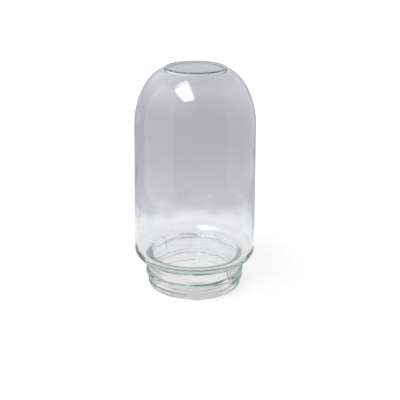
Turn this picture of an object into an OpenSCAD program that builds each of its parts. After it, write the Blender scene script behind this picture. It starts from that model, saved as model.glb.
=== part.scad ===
// Clear glass dome with a screw neck.
// It is one moulded piece: a domed cylinder, closed at the top by a raised flat disc,
// that narrows at a shoulder to an open neck with an outside glass thread.
// It stands on its rim. Units are millimetres, +Z is up, and the origin is the centre of the rim.

/* [Overall] */
// Height from the rim to the flat of the crown disc
height = 189; // [184:1:240]
// Diameter of the body at the shoulder, its widest place
shoulder_d = 103.5; // [103:0.5:110]
// Diameter of the body where the dome starts
crown_d = 100; // [97:0.5:103]
// Height at which the dome starts
dome_z = 140.5; // [110:0.5:143]

/* [Neck] */
// Height of the neck, from the rim to the shoulder
neck_h = 25.5; // [22:0.5:34]
// Diameter of the plain neck, which is the root of the thread
neck_d = 80; // [76:0.5:81]
// Thickness of the neck wall
neck_wall = 4.2; // [4:0.1:6]
// Rounding of both edges of the rim
rim_r = 1.5; // [0.6:0.1:1.9]
// Fillet where the neck meets the shoulder
neck_fillet = 1.8; // [0.5:0.1:2]

/* [Thread] */
// Diameter over the crest of the thread
thread_d = 84.5; // [83:0.5:86]
// Rise of the thread in one turn
thread_pitch = 5; // [4:0.25:6]
// Width of the thread ridge at its foot, which is sunk in the neck
thread_w = 4.4; // [3:0.2:5]
// Turns of the thread, with its run-in and run-out
thread_turns = 1.25; // [1:0.05:1.5]
// Height of the ridge's middle at the start of the thread
thread_z = 7.9; // [6:0.1:9]
// Compass angle at which the thread starts, from +X towards +Y
thread_start = -44; // [-180:1:180]

/* [Body] */
// Thickness of the body wall
wall = 3; // [2:0.1:3.4]
// Outside radius of the shoulder's corner
shoulder_r = 8.5; // [6:0.5:9]
// Thickness of the shoulder's floor, between the body and the neck
shoulder_wall = 3.6; // [2.6:0.1:4]
// Inside radius of the shoulder's corner, where the glass is thickest
inner_corner = 7; // [5:0.5:7.5]
// Rounding of the inside edge between the shoulder's floor and the bore
bore_edge_r = 3; // [2:0.1:4]

/* [Crown] */
// Diameter of the raised disc at the top
disc_d = 49.6; // [44:0.2:54]
// Rounding of the disc's upper edge
disc_edge = 0.4; // [0.2:0.1:1]
// Fillet at the disc's foot, where it rises from the dome
disc_foot = 0.7; // [0.3:0.1:1.2]
// Slope of the dome where it meets the disc, in degrees
crown_slope = 19; // [14:1:26]
// Thickness of the glass under the disc
crown_wall = 3.7; // [3:0.1:6]

/* [Hidden] */
$fn = 96;

// Radii, from the diameters above
shoulder_rad = shoulder_d / 2;
crown_rad = crown_d / 2;
neck_rad = neck_d / 2;
bore_rad = neck_rad - neck_wall;
thread_rad = thread_d / 2;
disc_rad = disc_d / 2;

// The dome's outline is an ellipse. It leaves the wall upright at dome_z, and it meets the
// fillet at the disc's foot at crown_slope.
meet_rise = height - disc_edge - disc_foot * cos(crown_slope) - dome_z;
side_run = crown_rad - disc_rad - disc_foot * (1 - sin(crown_slope));
meet_cos = side_run / (meet_rise * tan(90 - crown_slope) - side_run);
dome_a = side_run / (1 - meet_cos);
dome_b = meet_rise / sqrt(1 - meet_cos * meet_cos);
dome_x = crown_rad - dome_a;

// Top of the shoulder's floor, and the inside of the body at the shoulder
floor_z = neck_h + shoulder_wall;
inner_rad = shoulder_rad - wall;

// The inside of the dome ends in a flat under the crown, as wide as dome_x
inner_top = height - crown_wall;
inner_b = inner_top - dome_z;

// Step along the rounded stretches of the outline, in degrees
step = 6;
// The thread ridge grows and dies away over this many degrees
thread_fade = 30;
// Steps along the thread, in degrees, and points across half of its section
thread_step = 5;
ridge_steps = 4;
// The ridge's foot is sunk this deep in the neck, so that the two join as one solid
thread_sink = 0.6;

// Points of an elliptical arc, from angle a0 to a1, at equal steps
function arc(x, z, rx, rz, a0, a1) =
    let (n = ceil(abs(a1 - a0) / step))
    [for (i = [0 : n]) let (a = a0 + (a1 - a0) * i / n) [x + rx * cos(a), z + rz * sin(a)]];

// Outside of the glass, from the rim up to the middle of the crown
function outside() = concat(
    arc(neck_rad - rim_r, rim_r, rim_r, rim_r, -90, 0),
    arc(neck_rad + neck_fillet, neck_h - neck_fillet, neck_fillet, neck_fillet, 180, 90),
    arc(shoulder_rad - shoulder_r, neck_h + shoulder_r, shoulder_r, shoulder_r, -90, 0),
    arc(dome_x, dome_z, dome_a, dome_b, 0, acos(meet_cos)),
    arc(disc_rad + disc_foot, height - disc_edge, disc_foot, disc_foot, 270 - crown_slope - step, 180),
    arc(disc_rad - disc_edge, height - disc_edge, disc_edge, disc_edge, step, 90),
    [[0, height]]);

// Inside of the glass, from the middle of the crown down to the rim
function inside() = concat(
    [[0, inner_top]],
    arc(dome_x, dome_z, dome_a - wall, inner_b, 90, 0),
    arc(inner_rad - inner_corner, floor_z + inner_corner, inner_corner, inner_corner, 0, -90),
    arc(bore_rad + bore_edge_r, floor_z - bore_edge_r, bore_edge_r, bore_edge_r, 90, 180),
    arc(bore_rad + rim_r, rim_r, rim_r, rim_r, 180, 270));

// How much of the full ridge stands at an angle along the thread
function thread_grow(a) =
    let (end = 360 * thread_turns, near = min(a, end - a) / thread_fade)
    sin(90 * min(1, max(0.05, near)));

// One section of the ridge, at an angle along the thread: a half wave on a sunk foot
function thread_ring(a) =
    let (grow = thread_grow(a), lift = thread_z + thread_pitch * a / 360, turn = thread_start + a)
    [for (i = [-ridge_steps : ridge_steps])
        let (s = i / ridge_steps,
             r = neck_rad - thread_sink + (thread_rad - neck_rad + thread_sink) * grow * cos(90 * s))
        [r * cos(turn), r * sin(turn), lift + s * grow * thread_w / 2]];

module thread() {
    steps = ceil(360 * thread_turns / thread_step);
    width = 2 * ridge_steps + 1;
    points = [for (i = [0 : steps]) each thread_ring(360 * thread_turns * i / steps)];
    skin = [for (i = [0 : steps - 1], j = [0 : width - 1])
        let (k = (j + 1) % width)
        [i * width + j, i * width + k, (i + 1) * width + k, (i + 1) * width + j]];
    start_cap = [for (j = [width - 1 : -1 : 0]) j];
    end_cap = [for (j = [0 : width - 1]) steps * width + j];
    polyhedron(points, concat(skin, [start_cap, end_cap]), convexity = 4);
}

module glass_dome() {
    color("lightcyan", 0.4)
        union() {
            rotate_extrude() polygon(concat(outside(), inside()));
            thread();
        }
}

glass_dome();
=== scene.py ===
import math

import bpy
from mathutils import Matrix, Vector


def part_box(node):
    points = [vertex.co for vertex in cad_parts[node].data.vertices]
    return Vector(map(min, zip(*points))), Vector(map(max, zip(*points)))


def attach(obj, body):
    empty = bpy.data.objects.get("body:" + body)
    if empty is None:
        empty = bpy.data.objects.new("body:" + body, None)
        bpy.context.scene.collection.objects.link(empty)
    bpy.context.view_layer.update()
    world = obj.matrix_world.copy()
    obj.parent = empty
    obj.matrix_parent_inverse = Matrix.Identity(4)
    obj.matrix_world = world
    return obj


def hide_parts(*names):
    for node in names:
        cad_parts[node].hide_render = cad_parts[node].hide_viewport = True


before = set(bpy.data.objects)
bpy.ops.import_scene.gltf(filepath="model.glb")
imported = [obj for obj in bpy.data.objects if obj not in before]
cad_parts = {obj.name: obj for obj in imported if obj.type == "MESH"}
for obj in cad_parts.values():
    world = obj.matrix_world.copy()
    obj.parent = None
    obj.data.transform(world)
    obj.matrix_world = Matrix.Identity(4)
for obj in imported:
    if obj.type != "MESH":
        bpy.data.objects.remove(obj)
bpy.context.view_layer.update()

HIGH_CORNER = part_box("glass_dome")[1]

# ---------------------------------------------------------------- the glass's sizes, in metres
HEIGHT = HIGH_CORNER[2]
SHOULDER_RAD = HIGH_CORNER[0]
# The body's radius is CROWN_RAD at DOME_Z, where the dome starts
CROWN_RAD = 0.050
DOME_Z = 0.1405
WALL = 0.003

# The neck, its rim and the shoulder above it
NECK_H = 0.0255
NECK_RAD = 0.040
NECK_WALL = 0.0042
RIM_R = 0.0015
NECK_FILLET = 0.0018
SHOULDER_R = 0.0085
SHOULDER_FLOOR = 0.0036
INNER_CORNER = 0.007
BORE_EDGE_R = 0.003

# The raised disc on the crown, the dome's slope at its foot, and the glass under it
DISC_RAD = 0.0248
DISC_EDGE = 0.0004
DISC_FOOT = 0.0007
CROWN_SLOPE = math.radians(19)
CROWN_WALL = 0.0037

# The thread. THREAD_START and THREAD_FADE are in turns. A lower RIDGE_POWER makes a fuller ridge.
THREAD_RAD = 0.04225
THREAD_PITCH = 0.005
THREAD_WIDTH = 0.0050
THREAD_Z = 0.0079
THREAD_TURNS = 1.25
THREAD_START = -44 / 360
THREAD_FADE = 30 / 360
RIDGE_POWER = 0.8
# Near its ends the ridge gets lower, but no narrower than this part of its width
RIDGE_NARROWEST = 0.3

# Slow waves of the surfaces, as the range between their deepest and highest places. They die away in the
# dome, from CALM_FROM up to CALM_TO.
OUTSIDE_WAVE = 0.00012
INSIDE_WAVE = 0.0008
WAVE_SCALE = 45.0
CALM_FROM = 0.165
CALM_TO = 0.183

# How finely the mesh is cut: steps round the axis, along arcs, along the walls and along the neck. Points
# nearer than TOUCHING are one.
STEPS_ROUND = 280
ARC_STEP = math.radians(5)
WALL_STEP = 0.003
NECK_STEP = 0.0004
TOUCHING = 1e-6

# ---------------------------------------------------------------- the glass's finish
# A long way through the glass takes light towards GLASS_DEPTH. GLASS_SHADOW is what one skin of it lets
# through to the floor.
GLASS_IOR = 1.52
GLASS_TINT = (0.985, 0.995, 0.99, 1.0)
GLASS_DEPTH = (0.15, 0.54, 0.38, 1.0)
GLASS_DENSITY = 14.5
GLASS_SHADOW = (0.92, 0.89, 0.905, 1.0)

# Cooling ripples, all over the glass
RIPPLE_SCALE = 160.0
RIPPLE_STRENGTH = 0.12
RIPPLE_DEPTH = 0.0004

# The plunger's rings. They are on the inside, reach RINGS_WIDER further out above RINGS_WIDEN_Z, and fade
# away upwards from RINGS_FULL to RINGS_END.
RINGS_STRETCH = (20.0, 20.0, 420.0)
RINGS_DEPTH = 0.0016
RINGS_WIDEN_Z = NECK_H + 0.0015
RINGS_WIDER = 0.003
RINGS_FULL = 0.018
RINGS_END = 0.050

# The neck's mould seam lies in a plane through the axis, at SEAM_TURN from +X, and starts between SEAM_LOW
# and SEAM_FULL, above the thread. It stands proud by SEAM_PROUD in front and by SEAM_FAINT of that at the
# back, and changes within SEAM_SWAP of the axis.
SEAM_TURN = math.radians(-45)
SEAM_HALF = 0.0007
SEAM_PROUD = 0.0008
SEAM_FAINT = 0.25
SEAM_LOW = 0.0155
SEAM_FULL = 0.0175
SEAM_SWAP = 0.005

# A place within this distance of the axis is on the inside of the neck
MID_NECK_RAD = NECK_RAD - NECK_WALL / 2


# ---------------------------------------------------------------- node helpers
def feed(tree, socket, value):
    """Links an input to another node's output, or sets it to a plain value."""
    if isinstance(value, bpy.types.NodeSocket):
        tree.links.new(value, socket)
    else:
        socket.default_value = value


def new_node(tree, kind, **settings):
    """Adds a node. Each setting is a property, or an input that gets a value or a link."""
    node = tree.nodes.new(kind)
    for name, value in settings.items():
        if hasattr(node, name):
            setattr(node, name, value)
        else:
            feed(tree, node.inputs[name.replace("_", " ")], value)
    return node


def math_node(tree, operation, *values):
    """A Math node. Each value is a number or a socket. Gives its output socket."""
    node = new_node(tree, "ShaderNodeMath", operation=operation)
    for socket, value in zip(node.inputs, values):
        feed(tree, socket, value)
    return node.outputs[0]


def vector_node(tree, operation, *values):
    """A Vector Math node. Each value is three numbers or a socket. Gives its output socket."""
    node = new_node(tree, "ShaderNodeVectorMath", operation=operation)
    for socket, value in zip(node.inputs, values):
        feed(tree, socket, value)
    return node.outputs["Value" if operation == "LENGTH" else "Vector"]


def mapped(tree, source, start, end, value, end_value, way="SMOOTHSTEP"):
    """A step from one value to another, while the source goes from start to end."""
    node = new_node(tree, "ShaderNodeMapRange", interpolation_type=way, Value=source, From_Min=start,
                    From_Max=end, To_Min=value, To_Max=end_value)
    return node.outputs["Result"]


def colour_ramp(tree, source, stops):
    """A Color Ramp node from (place, colour) stops. Gives its colour socket."""
    node = tree.nodes.new("ShaderNodeValToRGB")
    ramp = node.color_ramp
    while len(ramp.elements) < len(stops):
        ramp.elements.new(0.5)
    for element, (place, colour) in zip(ramp.elements, stops):
        element.position = place
        element.color = (*colour, 1.0)
    tree.links.new(source, node.inputs[0])
    return node.outputs[0]


def blend(tree, part, first, second):
    """A mix of two colours. Each one is a socket or a plain colour."""
    node = new_node(tree, "ShaderNodeMix", data_type="RGBA")
    tree.links.new(part, node.inputs["Factor"])
    for name, colour in (("A", first), ("B", second)):
        socket = [item for item in node.inputs if item.name == name and item.type == "RGBA"][0]
        feed(tree, socket, colour if isinstance(colour, bpy.types.NodeSocket) else (*colour, 1.0))
    return [item for item in node.outputs if item.type == "RGBA"][0]


def mixed(tree, part, first, second):
    """A mix of two shaders."""
    node = tree.nodes.new("ShaderNodeMixShader")
    for socket, source in zip(node.inputs, (part, first, second)):
        tree.links.new(source, socket)
    return node.outputs[0]


def object_place(tree):
    """The place in the object's own coordinates, and the same split in X, Y and Z."""
    place = tree.nodes.new("ShaderNodeTexCoord").outputs["Object"]
    return place, new_node(tree, "ShaderNodeSeparateXYZ", Vector=place).outputs


def from_axis(tree, place, stretch=(1.0, 1.0, 0.0)):
    """Distance of a place from the Z axis, after it is stretched."""
    return vector_node(tree, "LENGTH", vector_node(tree, "MULTIPLY", place, stretch))


# ---------------------------------------------------------------- the outline
def arc(x, z, rx, rz, start, end):
    """Points and outward normals along an elliptical arc, at about equal steps."""
    steps = max(2, math.ceil(abs(end - start) / ARC_STEP))
    found = []
    for i in range(steps + 1):
        a = start + (end - start) * i / steps
        face = Vector((math.cos(a) / rx, 0, math.sin(a) / rz)).normalized()
        found.append((Vector((x + rx * math.cos(a), 0, z + rz * math.sin(a))), face))
    return found


def between(start, end, step):
    """Points strictly between two (point, normal) pairs, with the normal turned from one to the other."""
    steps = max(1, math.ceil((end[0] - start[0]).length / step))
    return [(start[0].lerp(end[0], i / steps), start[1].lerp(end[1], i / steps).normalized())
            for i in range(1, steps)]


def joined(stretches, steps):
    """One list of (point, normal) pairs from several stretches, with the straight gaps filled in."""
    found = list(stretches[0])
    for stretch, step in zip(stretches[1:], steps):
        if (stretch[0][0] - found[-1][0]).length > TOUCHING:
            found += between(found[-1], stretch[0], step)
            found += stretch
        else:
            found += stretch[1:]
    return found


def flipped(stretch):
    """The same stretch with its normals turned round, for a hollow curve or the inside."""
    return [(point, -face) for point, face in stretch]


def dome_ellipse():
    """Half-axes and middle of the dome's ellipse, and the angle on it where it meets the disc's foot."""
    rise = HEIGHT - DISC_EDGE - DISC_FOOT * math.cos(CROWN_SLOPE) - DOME_Z
    run = CROWN_RAD - DISC_RAD - DISC_FOOT * (1 - math.sin(CROWN_SLOPE))
    meet_cos = run / (rise / math.tan(CROWN_SLOPE) - run)
    half_x = run / (1 - meet_cos)
    half_z = rise / math.sqrt(1 - meet_cos ** 2)
    return half_x, half_z, CROWN_RAD - half_x, math.acos(meet_cos)


def outside_outline():
    """The section of the outside, from the middle of the crown down to the rim."""
    half_x, half_z, dome_x, meet = dome_ellipse()
    quarter = math.pi / 2
    return joined([
        [(Vector((0, 0, HEIGHT)), Vector((0, 0, 1)))],
        arc(DISC_RAD - DISC_EDGE, HEIGHT - DISC_EDGE, DISC_EDGE, DISC_EDGE, quarter, 0),
        flipped(arc(DISC_RAD + DISC_FOOT, HEIGHT - DISC_EDGE, DISC_FOOT, DISC_FOOT,
                    2 * quarter, 3 * quarter - CROWN_SLOPE)),
        arc(dome_x, DOME_Z, half_x, half_z, meet, 0),
        arc(SHOULDER_RAD - SHOULDER_R, NECK_H + SHOULDER_R, SHOULDER_R, SHOULDER_R, 0, -quarter),
        flipped(arc(NECK_RAD + NECK_FILLET, NECK_H - NECK_FILLET, NECK_FILLET, NECK_FILLET,
                    quarter, 2 * quarter)),
        arc(NECK_RAD - RIM_R, RIM_R, RIM_R, RIM_R, 0, -quarter),
    ], [WALL_STEP] * 5 + [NECK_STEP])


def inside_outline():
    """The section of the inside, from the rim up to the middle of the crown."""
    half_x, half_z, dome_x, meet = dome_ellipse()
    quarter = math.pi / 2
    bore = NECK_RAD - NECK_WALL
    floor = NECK_H + SHOULDER_FLOOR
    inner_top = HEIGHT - CROWN_WALL
    return joined([
        arc(bore + RIM_R, RIM_R, RIM_R, RIM_R, 3 * quarter, 2 * quarter),
        arc(bore + BORE_EDGE_R, floor - BORE_EDGE_R, BORE_EDGE_R, BORE_EDGE_R, 2 * quarter, quarter),
        flipped(arc(SHOULDER_RAD - WALL - INNER_CORNER, floor + INNER_CORNER, INNER_CORNER, INNER_CORNER,
                    -quarter, 0)),
        flipped(arc(dome_x, DOME_Z, half_x - WALL, inner_top - DOME_Z, 0, quarter)),
        [(Vector((0, 0, inner_top)), Vector((0, 0, -1)))],
    ], [NECK_STEP * 2] + [WALL_STEP] * 3)


def outline_mesh():
    """The outline as loose points that carry the skin's outward normal, and 1 on the outside."""
    outside = outside_outline()
    pairs = outside + inside_outline()
    mesh = bpy.data.meshes.new("outline")
    mesh.from_pydata([point for point, face in pairs], [], [])
    mesh.attributes.new("face", "FLOAT_VECTOR", "POINT")
    mesh.attributes.new("skin", "FLOAT", "POINT")
    for i, (point, face) in enumerate(pairs):
        mesh.attributes["face"].data[i].vector = face
        mesh.attributes["skin"].data[i].value = 1 if i < len(outside) else 0
    outline = bpy.data.objects.new("glass_dome_outline", mesh)
    bpy.context.scene.collection.objects.link(outline)
    return outline


# ---------------------------------------------------------------- geometry nodes
def add_inputs(tree, kind, *names):
    """Named inputs of one kind for a node group."""
    for name in names:
        tree.interface.new_socket(name=name, in_out="INPUT", socket_type="NodeSocket" + kind)


def ridge_tree():
    """Height of one turn of the thread ridge, from 0 to 1, at a place round the neck."""
    tree = bpy.data.node_groups.new("Thread Ridge", "GeometryNodeTree")
    add_inputs(tree, "Float", "Along", "Height", "Pitch", "Width", "Start Height", "Turns", "Fade")
    tree.interface.new_socket(name="Ridge", in_out="OUTPUT", socket_type="NodeSocketFloat")
    given = tree.nodes.new("NodeGroupInput").outputs
    result = tree.nodes.new("NodeGroupOutput")

    # It rises over the first stretch of the thread and falls over the last one, each Fade long
    left = math_node(tree, "SUBTRACT", given["Turns"], given["Along"])
    near = math_node(tree, "DIVIDE", math_node(tree, "MINIMUM", given["Along"], left), given["Fade"])
    grown = math_node(tree, "SINE", math_node(tree, "MULTIPLY", math_node(
        tree, "MINIMUM", math_node(tree, "MAXIMUM", near, 0.001), 1.0), math.pi / 2))

    # Across, it is a half wave round a middle that climbs by Pitch in each turn
    middle = math_node(tree, "MULTIPLY_ADD", given["Along"], given["Pitch"], given["Start Height"])
    half = math_node(tree, "MULTIPLY", math_node(tree, "MULTIPLY", given["Width"], 0.5),
                     math_node(tree, "MAXIMUM", grown, RIDGE_NARROWEST))
    off = math_node(tree, "DIVIDE", math_node(
        tree, "ABSOLUTE", math_node(tree, "SUBTRACT", given["Height"], middle)), half)
    wave = math_node(tree, "COSINE", math_node(
        tree, "MULTIPLY", math_node(tree, "MINIMUM", off, 1.0), math.pi / 2))
    ridge = math_node(tree, "POWER", math_node(tree, "MAXIMUM", wave, 0.0), RIDGE_POWER)
    tree.links.new(math_node(tree, "MULTIPLY", ridge, grown), result.inputs["Ridge"])
    return tree


def thread_offset(tree, given, turn, height):
    """How far the thread stands out of the neck, at a part of a turn and a height."""
    along = math_node(tree, "FRACT", math_node(tree, "SUBTRACT", turn, given["Thread Start Turn"]))
    group = ridge_tree()
    ridges = []
    # A place round the neck lies on the thread's first turn, and perhaps on its second one too
    for lap in (0.0, 1.0):
        node = tree.nodes.new("GeometryNodeGroup")
        node.node_tree = group
        feed(tree, node.inputs["Along"], math_node(tree, "ADD", along, lap))
        feed(tree, node.inputs["Height"], height)
        for name in ("Pitch", "Width", "Start Height", "Turns", "Fade"):
            feed(tree, node.inputs[name], given["Thread " + name])
        ridges.append(node.outputs[0])
    return math_node(tree, "MULTIPLY", math_node(tree, "MAXIMUM", *ridges), given["Thread Height"])


def wave_offset(tree, given, spot, height, skin):
    """Slow waves that the mould and the cooling leave, deeper on the inside."""
    noise = new_node(tree, "ShaderNodeTexNoise", noise_dimensions="3D", Vector=spot,
                     Scale=given["Wave Scale"], Detail=1.0, Roughness=0.4)
    depth = new_node(tree, "ShaderNodeMix", data_type="FLOAT", Factor=skin, A=given["Inside Wave"],
                     B=given["Outside Wave"])
    wave = math_node(tree, "MULTIPLY", math_node(tree, "SUBTRACT", noise.outputs[0], 0.5),
                     depth.outputs[0])
    above_rim = math_node(tree, "GREATER_THAN", height, RIM_R)
    below_crown = mapped(tree, height, given["Calm From"], given["Calm To"], 1.0, 0.0)
    return math_node(tree, "MULTIPLY", math_node(tree, "MULTIPLY", wave, above_rim), below_crown)


def revolve_tree():
    """Turns the outline's points round the Z axis into one closed skin, with thread and waves."""
    tree = bpy.data.node_groups.new("Moulded Glass", "GeometryNodeTree")
    add_inputs(tree, "Geometry", "Outline")
    add_inputs(tree, "Int", "Steps Round")
    add_inputs(tree, "Float", "Thread Height", "Thread Pitch", "Thread Width", "Thread Start Height",
               "Thread Start Turn", "Thread Turns", "Thread Fade", "Outside Wave", "Inside Wave",
               "Wave Scale", "Calm From", "Calm To")
    add_inputs(tree, "Material", "Glass")
    tree.interface.new_socket(name="Skin", in_out="OUTPUT", socket_type="NodeSocketGeometry")
    given = tree.nodes.new("NodeGroupInput").outputs
    result = tree.nodes.new("NodeGroupOutput")

    # A grid with a row for each point of the outline and a column for each step round
    count = new_node(tree, "GeometryNodeAttributeDomainSize", component="MESH", Geometry=given["Outline"])
    columns = math_node(tree, "ADD", given["Steps Round"], 1.0)
    grid = new_node(tree, "GeometryNodeMeshGrid", Vertices_X=count.outputs["Point Count"],
                    Vertices_Y=columns)
    index = tree.nodes.new("GeometryNodeInputIndex").outputs[0]
    row = math_node(tree, "FLOOR", math_node(tree, "DIVIDE", math_node(tree, "ADD", index, 0.5), columns))
    column = math_node(tree, "FLOORED_MODULO", index, columns)
    turn = math_node(tree, "DIVIDE", column, given["Steps Round"])
    angle = math_node(tree, "MULTIPLY", turn, math.tau)

    def sampled(kind, source):
        """A value of the outline's point in this row."""
        return new_node(tree, "GeometryNodeSampleIndex", data_type=kind, domain="POINT",
                        Geometry=given["Outline"], Value=source, Index=row).outputs["Value"]

    def named(kind, name):
        """An attribute of the outline."""
        return new_node(tree, "GeometryNodeInputNamedAttribute", data_type=kind,
                        Name=name).outputs["Attribute"]

    def turned(vector):
        """A vector of the outline, turned to this column."""
        return new_node(tree, "ShaderNodeVectorRotate", rotation_type="Z_AXIS", Vector=vector,
                        Angle=angle).outputs[0]

    place = sampled("FLOAT_VECTOR", tree.nodes.new("GeometryNodeInputPosition").outputs[0])
    skin = sampled("FLOAT", named("FLOAT", "skin"))
    spot = turned(place)
    outward = turned(sampled("FLOAT_VECTOR", named("FLOAT_VECTOR", "face")))
    height = new_node(tree, "ShaderNodeSeparateXYZ", Vector=place).outputs["Z"]

    thread = math_node(tree, "MULTIPLY", thread_offset(tree, given, turn, height), skin)
    offset = math_node(tree, "ADD", thread, wave_offset(tree, given, spot, height, skin))
    push = new_node(tree, "ShaderNodeVectorMath", operation="SCALE", Vector=outward, Scale=offset)
    moved = vector_node(tree, "ADD", spot, push.outputs[0])

    shape = new_node(tree, "GeometryNodeSetPosition", Geometry=grid.outputs["Mesh"], Position=moved)
    closed = new_node(tree, "GeometryNodeMergeByDistance", Geometry=shape.outputs[0], Distance=TOUCHING)
    smooth = new_node(tree, "GeometryNodeSetShadeSmooth", Geometry=closed.outputs[0])
    real = new_node(tree, "GeometryNodeRealizeInstances", Geometry=smooth.outputs[0])
    finish = new_node(tree, "GeometryNodeSetMaterial", Geometry=real.outputs[0], Material=given["Glass"])
    tree.links.new(finish.outputs[0], result.inputs["Skin"])
    return tree


def set_inputs(modifier, values):
    """Sets a geometry nodes modifier's inputs by name."""
    names = {item.name: item.identifier for item in modifier.node_group.interface.items_tree
             if item.in_out == "INPUT"}
    for name, value in values.items():
        modifier[names[name]] = value


def make_glass(material):
    """The whole dome as one plain closed mesh."""
    outline = outline_mesh()
    modifier = outline.modifiers.new("moulded", "NODES")
    modifier.node_group = revolve_tree()
    set_inputs(modifier, {
        "Steps Round": STEPS_ROUND, "Thread Height": THREAD_RAD - NECK_RAD,
        "Thread Pitch": THREAD_PITCH, "Thread Width": THREAD_WIDTH,
        "Thread Start Height": THREAD_Z, "Thread Start Turn": THREAD_START,
        "Thread Turns": THREAD_TURNS, "Thread Fade": THREAD_FADE,
        "Outside Wave": OUTSIDE_WAVE, "Inside Wave": INSIDE_WAVE, "Wave Scale": WAVE_SCALE,
        "Calm From": CALM_FROM, "Calm To": CALM_TO, "Glass": material})
    evaluated = outline.evaluated_get(bpy.context.evaluated_depsgraph_get())
    mesh = bpy.data.meshes.new_from_object(evaluated)
    bpy.data.objects.remove(outline)
    glass = bpy.data.objects.new("glass_dome_moulding", mesh)
    bpy.context.scene.collection.objects.link(glass)
    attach(glass, "root")
    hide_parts("glass_dome")
    return glass


# ---------------------------------------------------------------- the glass's material
def new_material(name):
    """A material with an empty node tree, and that tree."""
    material = bpy.data.materials.new(name)
    material.use_nodes = True
    material.node_tree.nodes.clear()
    return material, material.node_tree


def ring_ripples(tree, place, height, radius):
    """Fine rings that the plunger left inside the neck and on the shoulder's floor, from 0 to 1."""
    rings = new_node(tree, "ShaderNodeTexNoise", Vector=vector_node(tree, "MULTIPLY", place, RINGS_STRETCH),
                     Scale=1.0, Detail=1.5, Roughness=0.55)
    above_floor = math_node(tree, "GREATER_THAN", height, RINGS_WIDEN_Z)
    reach = math_node(tree, "MULTIPLY_ADD", above_floor, RINGS_WIDER, MID_NECK_RAD)
    inside = math_node(tree, "LESS_THAN", radius, reach)
    low = mapped(tree, height, RINGS_FULL, RINGS_END, 1.0, 0.0, way="LINEAR")
    return math_node(tree, "MULTIPLY", math_node(tree, "MULTIPLY", rings.outputs[0], inside), low)


def mould_seam(tree, split, radius):
    """The seam's rib on the outside of the neck, above the thread, from 0 to 1."""
    off = math_node(tree, "ABSOLUTE", math_node(
        tree, "SUBTRACT", math_node(tree, "MULTIPLY", split["X"], math.sin(SEAM_TURN)),
        math_node(tree, "MULTIPLY", split["Y"], math.cos(SEAM_TURN))))
    rib = mapped(tree, off, 0.0, SEAM_HALF, 1.0, 0.0)
    outside = math_node(tree, "GREATER_THAN", radius, MID_NECK_RAD)
    above_thread = mapped(tree, split["Z"], SEAM_LOW, SEAM_FULL, 0.0, 1.0, way="LINEAR")
    below_shoulder = math_node(tree, "LESS_THAN", split["Z"], NECK_H)
    on_neck = math_node(tree, "MULTIPLY", above_thread, below_shoulder)
    side = mapped(tree, split["Y"], -SEAM_SWAP, SEAM_SWAP, 1.0, SEAM_FAINT)
    return math_node(tree, "MULTIPLY", math_node(tree, "MULTIPLY", rib, outside),
                     math_node(tree, "MULTIPLY", on_neck, side))


def glass_material():
    """Clear soda-lime glass: cooling ripples, rings and a seam from the mould, and green in its depth."""
    material, tree = new_material("clear glass")
    place, split = object_place(tree)
    radius = from_axis(tree, place)
    ripples = new_node(tree, "ShaderNodeTexNoise", Vector=place, Scale=RIPPLE_SCALE, Detail=2.0,
                       Roughness=0.45)
    cooling = new_node(tree, "ShaderNodeBump", Strength=RIPPLE_STRENGTH, Distance=RIPPLE_DEPTH,
                       Height=ripples.outputs[0])
    rings = new_node(tree, "ShaderNodeBump", Strength=1.0, Distance=RINGS_DEPTH,
                     Height=ring_ripples(tree, place, split["Z"], radius), Normal=cooling.outputs[0])
    seam = new_node(tree, "ShaderNodeBump", Strength=1.0, Distance=SEAM_PROUD,
                    Height=mould_seam(tree, split, radius), Normal=rings.outputs[0])
    glass = new_node(tree, "ShaderNodeBsdfPrincipled", Roughness=0.0, IOR=GLASS_IOR, Base_Color=GLASS_TINT,
                     Transmission_Weight=1.0, Normal=seam.outputs[0])
    clear = new_node(tree, "ShaderNodeBsdfTransparent", Color=GLASS_SHADOW)
    depth = new_node(tree, "ShaderNodeVolumeAbsorption", Color=GLASS_DEPTH, Density=GLASS_DENSITY)
    path = tree.nodes.new("ShaderNodeLightPath").outputs
    new_node(tree, "ShaderNodeOutputMaterial", Volume=depth.outputs[0],
             Surface=mixed(tree, path["Is Shadow Ray"], glass.outputs[0], clear.outputs[0]))
    return material


# ---------------------------------------------------------------- the studio's finish
# Colours on the floor are placed by their distance from the dome's axis, as a part of one of these
NEAR_REACH = 0.1
FAR_REACH = 1.6

# Painted shade on the floor, which only the glass shows: a dark ring of painted shadow under the neck,
# between
# SHADE_IN and SHADE_END, and a grey pool of painted shade inside it. The ring dies away behind the axis and
# the pool grows in front of it, each between two places in Y.
RIM_SHADE = (0.14, 0.19, 0.175)
SHADE_IN = 0.35
SHADE_IN_BLUR = 0.008
SHADE_END = 0.44
SHADE_END_BLUR = 0.015
RING_FADES_Y = (0.012, 0.035)
FRONT_POOL_SHADE = (0.72, 0.72, 0.72)
POOL_GROWS_Y = (-0.012, -0.022)

# What the glass shows of the floor glows there as painted light: a white table, brightest near its edge,
# and a grey sweep behind it. The stretch makes it wider from left to right than it is deep.
SWEEP_FAR = (0.485, 0.443, 0.503)
TABLE_STRETCH = (0.85, 1.0, 0.0)
TABLE_STOPS = [
    (0.0, (0.86, 0.81, 0.83)), (0.045, (0.87, 0.82, 0.85)), (0.070, (0.93, 0.88, 0.92)),
    (0.088, (0.975, 0.93, 0.97)), (0.0945, (0.93, 0.885, 0.935)), (0.100, (0.87, 0.83, 0.88)),
    (0.108, (0.75, 0.71, 0.76)), (0.123, (0.60, 0.563, 0.62)), (0.156, (0.56, 0.519, 0.577)),
    (0.19, (0.55, 0.508, 0.567)), (0.235, (0.513, 0.471, 0.531)), (0.30, (0.492, 0.45, 0.51)),
    (0.36, SWEEP_FAR), (0.44, (0.52, 0.478, 0.538)), (0.55, (0.58, 0.54, 0.60))]

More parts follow.
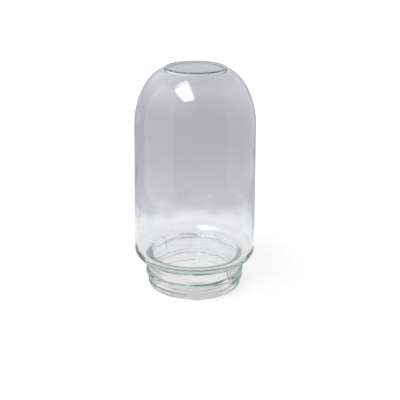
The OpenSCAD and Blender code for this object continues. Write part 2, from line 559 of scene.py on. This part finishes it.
# What the camera sees of the floor: paper that is lifted to white, less so near the dome and its shadow
PAPER = (0.82, 0.82, 0.82, 1.0)
PAPER_LIFT = [(0.0, (0.36, 0.36, 0.36)), (0.05, (0.36, 0.36, 0.36)), (0.25, (0.8, 0.8, 0.8))]

# What the glass shows of the room, from straight down to straight up. Towards the left and high up it gets
# brighter by SIDE_LIFT of itself, over these ranges of the direction's X and Z.
STUDIO_STOPS = [
    (0.0, SWEEP_FAR), (0.5, (0.58, 0.54, 0.60)), (0.62, (0.66, 0.62, 0.68)), (0.80, (0.66, 0.62, 0.67)),
    (1.0, (0.50, 0.48, 0.51))]
SIDE_LIFT = 0.6
LEFT_X = (0.2, -0.5)
HIGH_Z = (0.1, 0.5)
ROOM_LIGHT = (0.5, 0.5, 0.5, 1.0)
WHITE = (1.0, 1.0, 1.0, 1.0)


def by_ray(tree, plain, to_camera, in_glass):
    """One shader for the camera, one for rays through the glass or off it, and a plain one for the rest."""
    path = tree.nodes.new("ShaderNodeLightPath").outputs
    through = math_node(tree, "MAXIMUM", path["Is Transmission Ray"], path["Is Glossy Ray"])
    return mixed(tree, through, mixed(tree, path["Is Camera Ray"], plain, to_camera), in_glass)


def shade_near_neck(tree, place, y):
    """Painted shade on the floor near the dome: white, with a grey pool and a dark ring of painted shadow.
    """
    near = math_node(tree, "DIVIDE", from_axis(tree, place), NEAR_REACH)
    # A grey pool of painted shade in front of the axis, and a dark ring of painted shadow round the neck
    # that fades behind it
    pool = math_node(tree, "MULTIPLY", math_node(tree, "LESS_THAN", near, SHADE_IN),
                     mapped(tree, y, *POOL_GROWS_Y, 0.0, 1.0))
    ring = math_node(tree, "MULTIPLY",
                     mapped(tree, near, SHADE_IN, SHADE_IN + SHADE_IN_BLUR, 0.0, 1.0),
                     mapped(tree, near, SHADE_END, SHADE_END + SHADE_END_BLUR, 1.0, 0.0))
    ring_front = math_node(tree, "MULTIPLY", ring, mapped(tree, y, *RING_FADES_Y, 1.0, 0.0))
    return blend(tree, ring_front, blend(tree, pool, WHITE[:3], FRONT_POOL_SHADE), RIM_SHADE)


def floor_material():
    """White to the camera, with the object's shadow. In the glass it glows as painted light, with painted
    shade near the neck.
    """
    material, tree = new_material("studio floor")
    place, split = object_place(tree)
    far = math_node(tree, "DIVIDE", from_axis(tree, place, TABLE_STRETCH), FAR_REACH)
    # The glow that the glass shows: painted shade near the neck, times the painted light of the table and
    # sweep
    table = vector_node(tree, "MULTIPLY", shade_near_neck(tree, place, split["Y"]),
                        colour_ramp(tree, far, TABLE_STOPS))
    around = math_node(tree, "DIVIDE", from_axis(tree, place), FAR_REACH)
    paper = new_node(tree, "ShaderNodeBsdfDiffuse", Color=PAPER)
    lift = new_node(tree, "ShaderNodeEmission", Strength=1.0, Color=colour_ramp(tree, around, PAPER_LIFT))
    glow = new_node(tree, "ShaderNodeEmission", Strength=1.0, Color=table)
    lifted = tree.nodes.new("ShaderNodeAddShader")
    tree.links.new(paper.outputs[0], lifted.inputs[0])
    tree.links.new(lift.outputs[0], lifted.inputs[1])
    new_node(tree, "ShaderNodeOutputMaterial",
             Surface=by_ray(tree, paper.outputs[0], lifted.outputs[0], glow.outputs[0]))
    return material


def make_world():
    """White to the camera, an even pale light on the object, and a grey studio in the glass."""
    world = bpy.data.worlds.new("studio")
    bpy.context.scene.world = world
    world.use_nodes = True
    tree = world.node_tree
    tree.nodes.clear()
    direction = tree.nodes.new("ShaderNodeTexCoord").outputs["Generated"]
    split = new_node(tree, "ShaderNodeSeparateXYZ", Vector=direction).outputs
    up = math_node(tree, "MULTIPLY_ADD", split["Z"], 0.5, 0.5)
    leftward = mapped(tree, split["X"], *LEFT_X, 0.0, 1.0)
    high = mapped(tree, split["Z"], *HIGH_Z, 0.0, 1.0)
    side = math_node(tree, "MULTIPLY_ADD", math_node(tree, "MULTIPLY", leftward, high), SIDE_LIFT, 1.0)
    even = new_node(tree, "ShaderNodeBackground", Color=ROOM_LIGHT, Strength=1.0)
    white = new_node(tree, "ShaderNodeBackground", Color=WHITE, Strength=1.0)
    grey = new_node(tree, "ShaderNodeBackground", Color=colour_ramp(tree, up, STUDIO_STOPS), Strength=side)
    new_node(tree, "ShaderNodeOutputWorld",
             Surface=by_ray(tree, even.outputs[0], white.outputs[0], grey.outputs[0]))


# ---------------------------------------------------------------- floor, lamps and camera
FLOOR_HALF = 4.0
FLOOR_DROP = 0.0002

# The key lamp: its place, the directions that its width and length run in, and its size. It shines the way
# that KEY_ALONG x KEY_ACROSS points.
KEY_PLACE = (-0.39, -0.44, 1.0)
KEY_ACROSS = (0.77, 0.54, -0.34)
KEY_ALONG = (-0.40, 0.82, 0.42)
KEY_WIDTH = 0.63
KEY_LENGTH = 0.80
KEY_RADIANCE = 5.5

# The softbox's lit cloth as the glass shows it, corner by corner
CLOTH_CORNERS = [(-0.634, -0.231, 1.021), (-0.382, -0.799, 0.847), (-0.011, -0.815, 0.973),
                 (-0.230, 0.134, 1.336)]
CLOTH_RADIANCE = 6.6
PANEL_AWAY = 0.28

# The camera's place, and its tilt and roll in radians. The frame is FRAME_PIXELS wide, FOCAL_PIXELS is the
# focal length in the same pixels, and the dome's axis is in column AXIS_PIXEL.
CAMERA_BACK = 0.6325
CAMERA_UP = 0.315
CAMERA_PITCH = 0.363
CAMERA_ROLL = 0.008
FRAME_PIXELS = 400
FOCAL_PIXELS = 795.3
AXIS_PIXEL = 194.4
SENSOR_WIDTH = 36.0

# Light runs along inside the glass and is reflected many times before it leaves
LIGHT_BOUNCES = 64


def plate(name, corners, material):
    """A flat four-cornered piece of the studio."""
    mesh = bpy.data.meshes.new(name)
    mesh.from_pydata(corners, [], [(0, 1, 2, 3)])
    mesh.materials.append(material)
    piece = bpy.data.objects.new(name, mesh)
    bpy.context.scene.collection.objects.link(piece)
    return piece


def make_floor():
    """The floor, a hair under the rim so that the two don't touch."""
    half = FLOOR_HALF
    floor = plate("studio_floor", [(-half, -half, 0), (half, -half, 0), (half, half, 0), (-half, half, 0)],
                  floor_material())
    floor.location.z = -FLOOR_DROP


def area_lamp(name, width, length, radiance):
    """A rectangular lamp whose face has this radiance. The camera doesn't see it."""
    data = bpy.data.lights.new(name, "AREA")
    data.shape = "RECTANGLE"
    data.size = width
    data.size_y = length
    data.energy = radiance * math.pi * width * length
    lamp = bpy.data.objects.new(name, data)
    lamp.visible_camera = False
    bpy.context.scene.collection.objects.link(lamp)
    return lamp


def make_key():
    """The main light. The glass shows the softbox's cloth in its place."""
    key = area_lamp("key_softbox", KEY_WIDTH, KEY_LENGTH, KEY_RADIANCE)
    side = Vector(KEY_ACROSS).normalized()
    away = side.cross(Vector(KEY_ALONG)).normalized()
    turn = Matrix((side, away.cross(side), away)).transposed()
    key.matrix_world = Matrix.Translation(KEY_PLACE) @ turn.to_4x4()
    key.visible_glossy = False
    key.visible_transmission = False


def make_softbox_face():
    """The softbox's lit cloth, which only shows in the glass."""
    material, tree = new_material("softbox cloth")
    cloth = new_node(tree, "ShaderNodeEmission", Strength=CLOTH_RADIANCE)
    new_node(tree, "ShaderNodeOutputMaterial", Surface=cloth.outputs[0])
    face = plate("softbox_face", CLOTH_CORNERS, material)
    face.visible_camera = False
    face.visible_diffuse = False
    face.visible_shadow = False


def side_panel(name, compass, width, height, radiance):
    """An upright lit panel beside the dome that is only mirrored in it. compass 0 is -Y, 90 is +X."""
    panel = area_lamp(name, width, height, radiance)
    a = math.radians(compass)
    panel.location = (math.sin(a) * PANEL_AWAY, -math.cos(a) * PANEL_AWAY, height / 2)
    panel.rotation_euler = (math.pi / 2, 0, a)
    panel.visible_diffuse = False
    panel.visible_transmission = False


def make_lamps():
    """The key light, its cloth as the glass shows it, and a panel on each side."""
    make_key()
    make_softbox_face()
    side_panel("left_panel", compass=-70, width=0.35, height=0.50, radiance=0.84)
    side_panel("right_panel", compass=100, width=0.54, height=0.36, radiance=0.4)


def make_camera():
    """The camera, in front of the dome and above it, looking down."""
    data = bpy.data.cameras.new("camera")
    data.sensor_width = SENSOR_WIDTH
    data.lens = FOCAL_PIXELS / FRAME_PIXELS * SENSOR_WIDTH
    data.clip_start = 0.01
    camera = bpy.data.objects.new("camera", data)
    turn = math.atan((FRAME_PIXELS / 2 - AXIS_PIXEL) / FOCAL_PIXELS)
    camera.matrix_world = (Matrix.Translation((0, -CAMERA_BACK, CAMERA_UP))
                           @ Matrix.Rotation(-turn, 4, "Z")
                           @ Matrix.Rotation(math.pi / 2 - CAMERA_PITCH, 4, "X")
                           @ Matrix.Rotation(CAMERA_ROLL, 4, "Z"))
    bpy.context.scene.collection.objects.link(camera)
    bpy.context.scene.camera = camera


scene = bpy.context.scene
scene.view_settings.view_transform = "Standard"
scene.cycles.max_bounces = LIGHT_BOUNCES
scene.cycles.glossy_bounces = LIGHT_BOUNCES
scene.cycles.transmission_bounces = LIGHT_BOUNCES
make_camera()
make_world()
make_floor()
make_lamps()
make_glass(glass_material())
